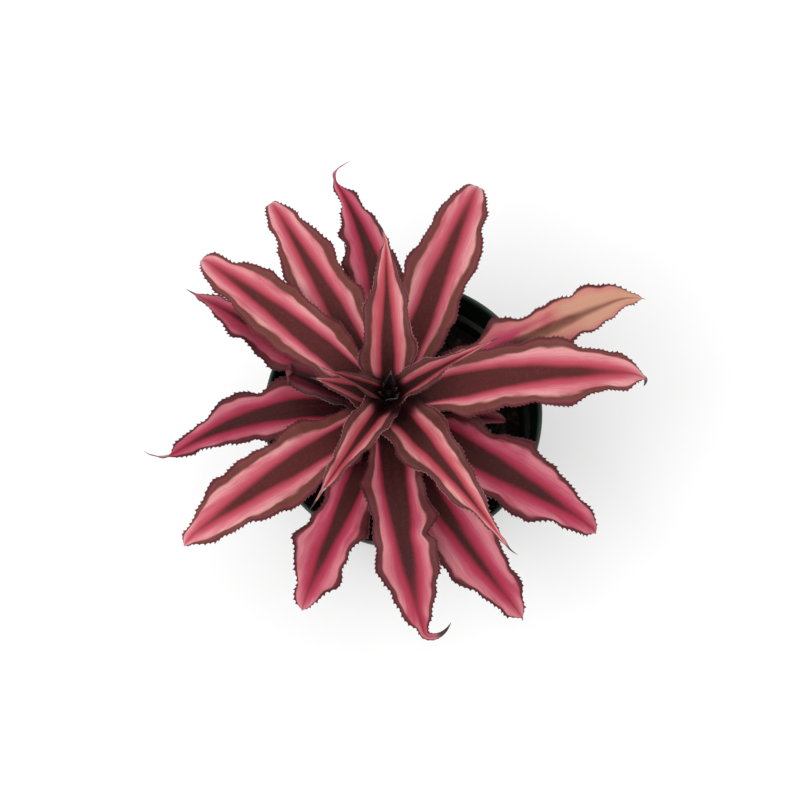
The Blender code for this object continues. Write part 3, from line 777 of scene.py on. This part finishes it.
outer_face = leaf_face(
    "deep pink outer leaf", (0.36, 0.022, 0.054), (0.52, 0.074, 0.148), (0.62, 0.200, 0.235),
    (0.048, 0.0060, 0.0070), (0.100, 0.0175, 0.0180), (0.120, 0.022, 0.029), 0.37, 0.69, 0.85, 0.9,
)
faded_face = leaf_face(
    "faded outer leaf", (0.47, 0.038, 0.095), (0.57, 0.095, 0.160), (0.60, 0.330, 0.215),
    (0.085, 0.016, 0.015), (0.125, 0.034, 0.030), (0.130, 0.030, 0.034), 0.35, 0.74, 0.3, 0.9, 1.0,
    dry=(0.27, 0.120, 0.072), faded_from=0.49,
)
for leaf, spine, bays, look in (
    (Leaf("outer_leaf_1", 150, 85, 20, 5.3, 22, 30, 0, 10, 0.5, 0.46, 1.7, 0, 0, 0, 3, 1.4, 0),
     (3.5, 0, -20, 0.75), ((1, 0.72, 1.2, 0.06), (-1, 0.6, -1.0, 0.05)), (1.2, 0.5, 0.12)),
    (Leaf("outer_leaf_2", 177, 92, 20, 3.8, 22, 33, 40, 10, 0.5, 0.5, 1.5, 6, 0, -55, 3, 1.2, 60),
     (2.5, -25, -20, 0.75), ((-1, 0.55, 0.9, 0.05), (-1, 0.37, 2.4, 0.10)), (1.35, 0.9, 0.08)),
    (Leaf("outer_leaf_3", -112, 84, 22, 5.2, 22, 32, 0, 10, 0.5, 0.5, 3.2, 0, 50, 0, 3, 1.3, 0),
     (1.2, 0, 40, 0.75), ((-1, 0.50, -2.4, 0.07), (-1, 0.69, 1.3, 0.05), (1, 0.64, -1.0, 0.05),
                          (1, 0.80, 0.9, 0.04), (1, 0.86, -0.8, 0.02)), (1.15, 1.2, 0)),
    (Leaf("outer_leaf_4", -68, 95, 24, 3.5, 22, 34, 20, 10, 0.5, 0.5, 2.6, 0, 40, 0, 3, 1.4, 30),
     (3.5, 120, 60, 0.75), ((1, 0.62, 1.2, 0.03), (-1, 0.7, 0.8, 0.06)), (0.9, 1.5, 0)),
    (Leaf("outer_leaf_5", -33, 92, 26, 6.4, 21, 30, 0, 10, 0.5, 0.46, 2.3, 0, 55, 0, 3, 1.5, 0),
     (1.2, 0, 40, 0.75), ((1, 0.55, 1.0, 0.06), (-1, 0.35, -1.2, 0.06)), (1.25, 0.9, 0)),
    (Leaf("outer_leaf_6", 25, 105, 21, 4.7, 22, 28, -2, 8, 0.5, 0.5, 2.9, 0, 10, -24, 3, 1.4, 80),
     (0.8, 0, 0, 0.75), ((1, 0.44, 2.0, 0.03), (1, 0.56, -1.8, 0.07), (1, 0.80, 1.4, 0.07),
                         (-1, 0.72, -1.6, 0.06), (-1, 0.60, 0.8, 0.04), (-1, 0.90, -1.2, 0.06)),
     (1.1, 1.0, 0)),
    (Leaf("outer_leaf_7", 88, 102, 22, 6.8, 19, 28, 36, 10, 0.5, 0.42, 1.5, 9, 0, -90, 3, 1.5, 0),
     (1.5, -20, -10, 0.75), ((1, 0.42, 1.0, 0.04), (1, 0.55, 1.3, 0.035), (1, 0.66, 1.6, 0.03),
                            (-1, 0.52, 1.2, 0.03), (-1, 0.60, -1.2, 0.04)), (1.3, 0.7, 0.03)),
):
    grow_leaf(leaf, faded_face if leaf.name == "outer_leaf_6" else outer_face, leaf_back,
              ragged=1.25, spine=spine, bays=bays, look=look)

# --- Middle leaves -----------------------------------------------------------------------------
# Six broad leaves that lie over the outer ones and give the plant its star. They are salmon pink,
# cream towards the outside, between a brown middle band and olive brown wavy margins.

middle_face = leaf_face(
    "striped middle leaf", (0.48, 0.056, 0.090), (0.63, 0.150, 0.208), (0.76, 0.330, 0.335),
    (0.082, 0.0115, 0.0120), (0.150, 0.044, 0.031), (0.195, 0.045, 0.053), 0.39, 0.600, 0.95, 0.70,
)
deep_face = leaf_face(
    "deep pink middle leaf", (0.38, 0.027, 0.056), (0.53, 0.086, 0.155), (0.64, 0.230, 0.250),
    (0.048, 0.0070, 0.0080), (0.120, 0.030, 0.026), (0.150, 0.030, 0.040), 0.40, 0.600, 0.85, 0.70,
    1.05,
)
for leaf, spine, bays, look in (
    (Leaf("middle_leaf_1", 120, 95, 23, 8.5, 22, 30, 0, 10, 0.5, 0.46, 2.0, 0, 60, 0, 3, 1.2, 0),
     (1.2, 0, 40, 0.75), ((1, 0.5, 0.8, 0.06), (-1, 0.42, 0.8, 0.05)), (1.0, 1.0, 0)),
    (Leaf("middle_leaf_2", 68, 95, 25, 10.3, 23, 32, 0, 10, 0.5, 0.5, 2.4, 0, 60, 0, 3, 1.4, 50),
     (3.2, 70, -40, 0.9), ((-1, 0.60, -1.3, 0.04), (1, 0.80, 0.8, 0.04)), (1.1, 0.9, 0)),
    (Leaf("middle_leaf_3", -144, 94, 26, 7.1, 22, 32, 0, 10, 0.5, 0.46, 2.2, 0, 55, 0, 3, 1.5, 20),
     (1.2, 0, 40, 0.75), ((1, 0.50, 1.0, 0.05), (-1, 0.75, 0.9, 0.05)), (1.1, 1.1, 0)),
    (Leaf("middle_leaf_4", -87, 88, 24, 8.4, 23, 34, 11, 10, 0.55, 0.46, 3.4, 1, 40, 6, 3, 1.8, 10),
     (13, 135, -60, 2.2), ((1, 0.50, 1.2, 0.05), (1, 0.58, -3.0, 0.035), (1, 0.74, 0.8, 0.05),
                           (-1, 0.60, -1.8, 0.06), (-1, 0.72, 1.2, 0.04), (-1, 0.80, -1.2, 0.03),
                           (-1, 0.93, 1.0, 0.04), (1, 0.88, -1.3, 0.03)), (1.25, 0.8, 0)),
    (Leaf("middle_leaf_5", 143, 92, 23, 11.6, 22, 28, 0, 10, 0.5, 0.46, 2.4, 0, 60, 0, 3, 1.4, 40),
     (1.2, 0, 40, 0.75), ((-1, 0.55, 0.9, 0.05),), (1.15, 0.9, 0)),
    (Leaf("middle_leaf_6", 11, 97, 26, 12.1, 22, 29, -15, 8, 0.5, 0.5, 2.3, 0, 45, 0, 3, 1.4, 0),
     (6.0, -135, 35, 1.3), ((-1, 0.28, 1.2, 0.06), (-1, 0.42, -1.0, 0.05), (-1, 0.90, 0.8, 0.05)),
     (1.2, 1.0, 0)),
):
    face = deep_face if leaf.name == "middle_leaf_4" else middle_face
    grow_leaf(leaf, face, leaf_back, spine=spine, bays=bays, look=look)

# --- Inner leaves ------------------------------------------------------------------------------
# Five younger leaves that stand up steeply round the heart, broad at the foot and running out to
# a fine point, folded along the midrib. Their stripes are those of the middle leaves.

inner_face = leaf_face(
    "striped inner leaf", (0.45, 0.048, 0.070), (0.62, 0.148, 0.188), (0.74, 0.315, 0.305),
    (0.064, 0.0105, 0.0105), (0.115, 0.036, 0.028), (0.175, 0.050, 0.056), 0.30, 0.59, 0.85, 0.40,
    0.965, tooth=(0.30, 0.135, 0.140),
)
for leaf, spine, look in (
    (Leaf("inner_leaf_1", -55, 75, 23, 12.9, 32, 30, 0, 16, 0.8, 0.25, 1.2, 3, 0, 0, 3, 1.2, 0),
     (4, 25, 0, 0.75), (1.0, 1.3, 0)),
    (Leaf("inner_leaf_2", 91, 64, 21, 13.1, 48, 20, 0, 16, 0.8, 0.25, 1.8, 4, 0, 20, 3, 0.8, 0),
     (5, 30, -5, 0.75), (1.0, 0.8, 0)),
    (Leaf("inner_leaf_3", 172, 28, 15, 14.4, 42, 20, 0, 26, 0.8, 0.3, 1.3, 0, 0, 0, 2, 0.6, 0),
     (2, 0, 0, 0.75), (1.25, 0.4, 0.33)),
    (Leaf("inner_leaf_4", -118, 61, 17, 15.8, 42, 20, 0, 34, 0.8, 0.3, 1.2, 3, 0, 0, 3, 0.8, 0),
     (3, 0, 0, 0.75), (0.8, 1.0, 0.0)),
    (Leaf("inner_leaf_5", 14, 52, 14, 17.4, 54, 16, 0, 34, 0.8, 0.25, 1.1, 4, 0, 0, 2, 0.6, 0),
     (3, 0, 0, 0.75), (1.1, 0.5, 0.25)),
):
    grow_leaf(leaf, inner_face, leaf_back, toothed=0.5, ragged=0.8, spine=spine, look=look)

# --- Heart leaves ------------------------------------------------------------------------------
# The youngest leaves, rolled tight in the middle of the rosette: one slim leaf that leans out to
# the left, two short spears, and the bud of tiny leaves between them, dark under grey scurf.

heart_face = leaf_face(
    "young heart leaf", (0.26, 0.026, 0.036), (0.36, 0.070, 0.085), (0.40, 0.17, 0.155),
    (0.045, 0.010, 0.011), (0.075, 0.028, 0.025), (0.15, 0.060, 0.062), 0.5, 0.62, 0.5, 0.3, 0.93,
)
bud_face = leaf_face(
    "scurfy bud leaf", (0.020, 0.018, 0.021), (0.028, 0.034, 0.038), (0.045, 0.060, 0.064),
    (0.008, 0.007, 0.008), (0.014, 0.017, 0.019), (0.034, 0.045, 0.048), 0.4, 0.7, 0.6, 0.2, 0.80,
    dry=(0.075, 0.100, 0.108), tooth=(0.09, 0.12, 0.125),
)
for leaf, face, shade in (
    (Leaf("heart_leaf_1", 176, 36, 9, 18.6, 58, 10, 0, 36, 0.8, 0.25, 1.1, 4, 0, 0, 2, 0.3, 0),
     heart_face, 0),
    (Leaf("heart_leaf_2", -60, 14, 6, 19.6, 74, 4, 0, 24, 0.7, 0.3, 1.3, 0, 0, 0, 2, 0.1, 0),
     bud_face, 0.3),
    (Leaf("heart_leaf_3", 80, 11, 5, 20.1, 74, 4, 0, 24, 0.7, 0.3, 1.3, 0, 0, 0, 2, 0.1, 0),
     bud_face, 0.6),
    (Leaf("bud_leaf_1", 200, 5.5, 3.4, 20.2, 74, 2, 0, 40, 0.9, 0.3, 1.3, 0, 0, 0, 2, 0.1, 0),
     bud_face, 0.1),
    (Leaf("bud_leaf_2", 10, 5.0, 3.0, 20.4, 76, 2, 0, 40, 0.9, 0.3, 1.3, 0, 0, 0, 2, 0.1, 0),
     bud_face, 0),
    (Leaf("bud_leaf_3", 130, 4.5, 2.8, 20.6, 78, 2, 0, 40, 0.9, 0.3, 1.3, 0, 0, 0, 2, 0.1, 0),
     bud_face, 0.2),
):
    back = leaf_back if face is heart_face else face
    grow_leaf(leaf, face, back, thickness=0.6, toothed=0.25, ragged=0.3, spine=(0.6, 0, 0, 0.4),
              look=(1, 1, shade))

# --- Floor, light and camera -------------------------------------------------------------------
# A wide pale floor, one large soft light high on the left with a weaker one across from it, and
# a camera that looks down on the plant from the front at 73 degrees.

drop_selection()
bpy.ops.mesh.primitive_plane_add(size=8, location=(0, 0, -0.0002))
floor = bpy.context.object
floor.name = "pale_floor"
paper, tree, shader = new_material("pale floor")
shader.inputs["Base Color"].default_value = (0.86, 0.86, 0.86, 1)
shader.inputs["Roughness"].default_value = 0.9
shader.inputs["Emission Color"].default_value = (1, 1, 1, 1)
shader.inputs["Emission Strength"].default_value = 0.10
floor.data.materials.append(paper)

world = bpy.data.worlds.new("studio")
bpy.context.scene.world = world
world.use_nodes = True
sky = world.node_tree.nodes["Background"]
sky.inputs["Color"].default_value = (1.0, 1.0, 1.0, 1)
sky.inputs["Strength"].default_value = 0.85
bpy.context.scene.view_settings.view_transform = "Standard"

for name, spot, power in (
    ("soft light left", (-0.60, -0.35, 0.85), 5.5),
    ("soft light right", (0.75, 0.35, 0.80), 2),
):
    lamp = bpy.data.lights.new(name, "AREA")
    lamp.size = 0.8
    lamp.energy = power
    holder = bpy.data.objects.new(name, lamp)
    holder.location = spot
    to_plant = Vector((0, 0, 0.08)) - Vector(spot)
    holder.rotation_euler = to_plant.to_track_quat("-Z", "Y").to_euler()
    bpy.context.scene.collection.objects.link(holder)

LOOK_AT = Vector((-1.2 * MM, 3.9 * MM, 86 * MM))
EYE_DISTANCE = 0.56
tilt = math.radians(73)
camera = bpy.data.objects.new("camera", bpy.data.cameras.new("camera"))
camera.data.lens = 65
camera.data.sensor_width = 36
back_to_eye = Vector((0, -math.cos(tilt), math.sin(tilt)))
camera.location = LOOK_AT + EYE_DISTANCE * back_to_eye
camera.rotation_euler = (-back_to_eye).to_track_quat("-Z", "Y").to_euler()
bpy.context.scene.collection.objects.link(camera)
bpy.context.scene.camera = camera

drop_selection()
bpy.context.view_layer.update()
